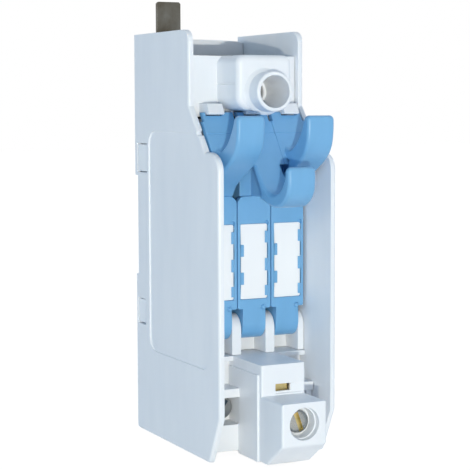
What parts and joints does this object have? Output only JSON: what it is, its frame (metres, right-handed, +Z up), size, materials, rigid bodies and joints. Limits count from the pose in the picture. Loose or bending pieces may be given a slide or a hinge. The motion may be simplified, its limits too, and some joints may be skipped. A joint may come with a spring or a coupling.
{
  "type": "neutral disconnect terminal",
  "caption": "Rail-mounted terminal block with hooked pull-down knife levers, screw clamps behind a stepped front moulding and a flat link tab on top.",
  "frame": {"origin": "centre of the footprint at the lower edges of the two side covers", "axes": "+Z up along the rail module's height, -Y the front with the levers, +X to the right when facing the front"},
  "size_m": [0.0428, 0.087, 0.1523],
  "materials": {
    "white_moulding": "satin",
    "blue_moulding": "semi-gloss",
    "label_white": "matte",
    "grey_foot": "satin",
    "tinned_copper": "dull tin plating",
    "bare_copper": "rolled",
    "brass_strip": "rolled",
    "brass_screw": "turned",
    "zinc_steel": "zinc plated",
    "spring_steel": "bright drawn"
  },
  "bodies": {
    "housing": {"base_frame": "white_moulding", "left_side_cover": "white_moulding", "right_side_cover": "white_moulding", "top_hood": "white_moulding", "bottom_hood": "white_moulding", "link_bar": "tinned_copper", "top_terminal_bar": "tinned_copper", "rail_foot_spring": "spring_steel", "left_upper_jaw": "bare_copper", "left_lower_contact": "brass_strip", "middle_upper_jaw": "bare_copper", "middle_lower_contact": "brass_strip", "right_upper_jaw": "bare_copper", "right_lower_contact": "brass_strip"},
    "left_lever_body": {"left_lever": "blue_moulding", "left_label_plate": "label_white", "left_blade": "bare_copper"},
    "middle_lever_body": {"middle_lever": "blue_moulding", "middle_label_plate": "label_white", "middle_blade": "bare_copper"},
    "right_lever_body": {"right_lever": "blue_moulding", "right_label_plate": "label_white", "right_blade": "bare_copper"},
    "top_screw_body": {"top_clamp_screw": "zinc_steel"},
    "top_cage_body": {"top_clamp_cage": "zinc_steel"},
    "left_screw_body": {"left_clamp_screw": "zinc_steel"},
    "left_cage_body": {"left_clamp_cage": "zinc_steel"},
    "middle_screw_body": {"middle_clamp_screw": "brass_screw"},
    "middle_cage_body": {"middle_clamp_cage": "zinc_steel"},
    "right_screw_body": {"right_clamp_screw": "zinc_steel"},
    "right_cage_body": {"right_clamp_cage": "zinc_steel"},
    "rail_foot_body": {"rail_foot": "grey_foot"}
  },
  "joints": [
    {"name": "left_lever_hinge", "type": "hinge", "parent": "housing", "child": "left_lever_body", "pos_m": [-0.01255, -0.0029, 0.0434], "axis": [1, 0, 0], "range_deg": [0, 70]},
    {"name": "middle_lever_hinge", "type": "hinge", "parent": "housing", "child": "middle_lever_body", "pos_m": [0, -0.0029, 0.0434], "axis": [1, 0, 0], "range_deg": [0, 70]},
    {"name": "right_lever_hinge", "type": "hinge", "parent": "housing", "child": "right_lever_body", "pos_m": [0.01255, -0.0029, 0.0434], "axis": [1, 0, 0], "range_deg": [0, 70]},
    {"name": "top_screw_turn", "type": "hinge", "parent": "housing", "child": "top_screw_body", "pos_m": [0, -0.0043, 0.1207], "axis": [0, 1, 0], "range_deg": [0, 1440]},
    {"name": "top_cage_lift", "type": "slide", "parent": "housing", "child": "top_cage_body", "axis": [0, -1, 0], "range_m": [0, 0.004]},
    {"name": "left_screw_turn", "type": "hinge", "parent": "housing", "child": "left_screw_body", "pos_m": [-0.01255, -0.0065, 0.0159], "axis": [0, 1, 0], "range_deg": [0, 1440]},
    {"name": "left_cage_lift", "type": "slide", "parent": "housing", "child": "left_cage_body", "axis": [0, -1, 0], "range_m": [0, 0.004]},
    {"name": "middle_screw_turn", "type": "hinge", "parent": "housing", "child": "middle_screw_body", "pos_m": [0, -0.0387, 0.0159], "axis": [0, 1, 0], "range_deg": [0, 1440]},
    {"name": "middle_cage_lift", "type": "slide", "parent": "housing", "child": "middle_cage_body", "axis": [0, -1, 0], "range_m": [0, 0.004]},
    {"name": "right_screw_turn", "type": "hinge", "parent": "housing", "child": "right_screw_body", "pos_m": [0.01255, -0.0065, 0.0159], "axis": [0, 1, 0], "range_deg": [0, 1440]},
    {"name": "right_cage_lift", "type": "slide", "parent": "housing", "child": "right_cage_body", "axis": [0, -1, 0], "range_m": [0, 0.004]},
    {"name": "rail_foot_slide", "type": "slide", "parent": "housing", "child": "rail_foot_body", "axis": [0, 0, -1], "range_m": [0, 0.003], "stiffness_N_per_m": 900, "springref_m": -0.002, "deforming": ["rail_foot_spring"]}
  ],
  "couplings": [
    {"joint": "top_screw_turn", "follows": "top_cage_lift", "rad_per_m": 6283.2},
    {"joint": "left_screw_turn", "follows": "left_cage_lift", "rad_per_m": 6283.2},
    {"joint": "middle_screw_turn", "follows": "middle_cage_lift", "rad_per_m": 6283.2},
    {"joint": "right_screw_turn", "follows": "right_cage_lift", "rad_per_m": 6283.2}
  ]
}
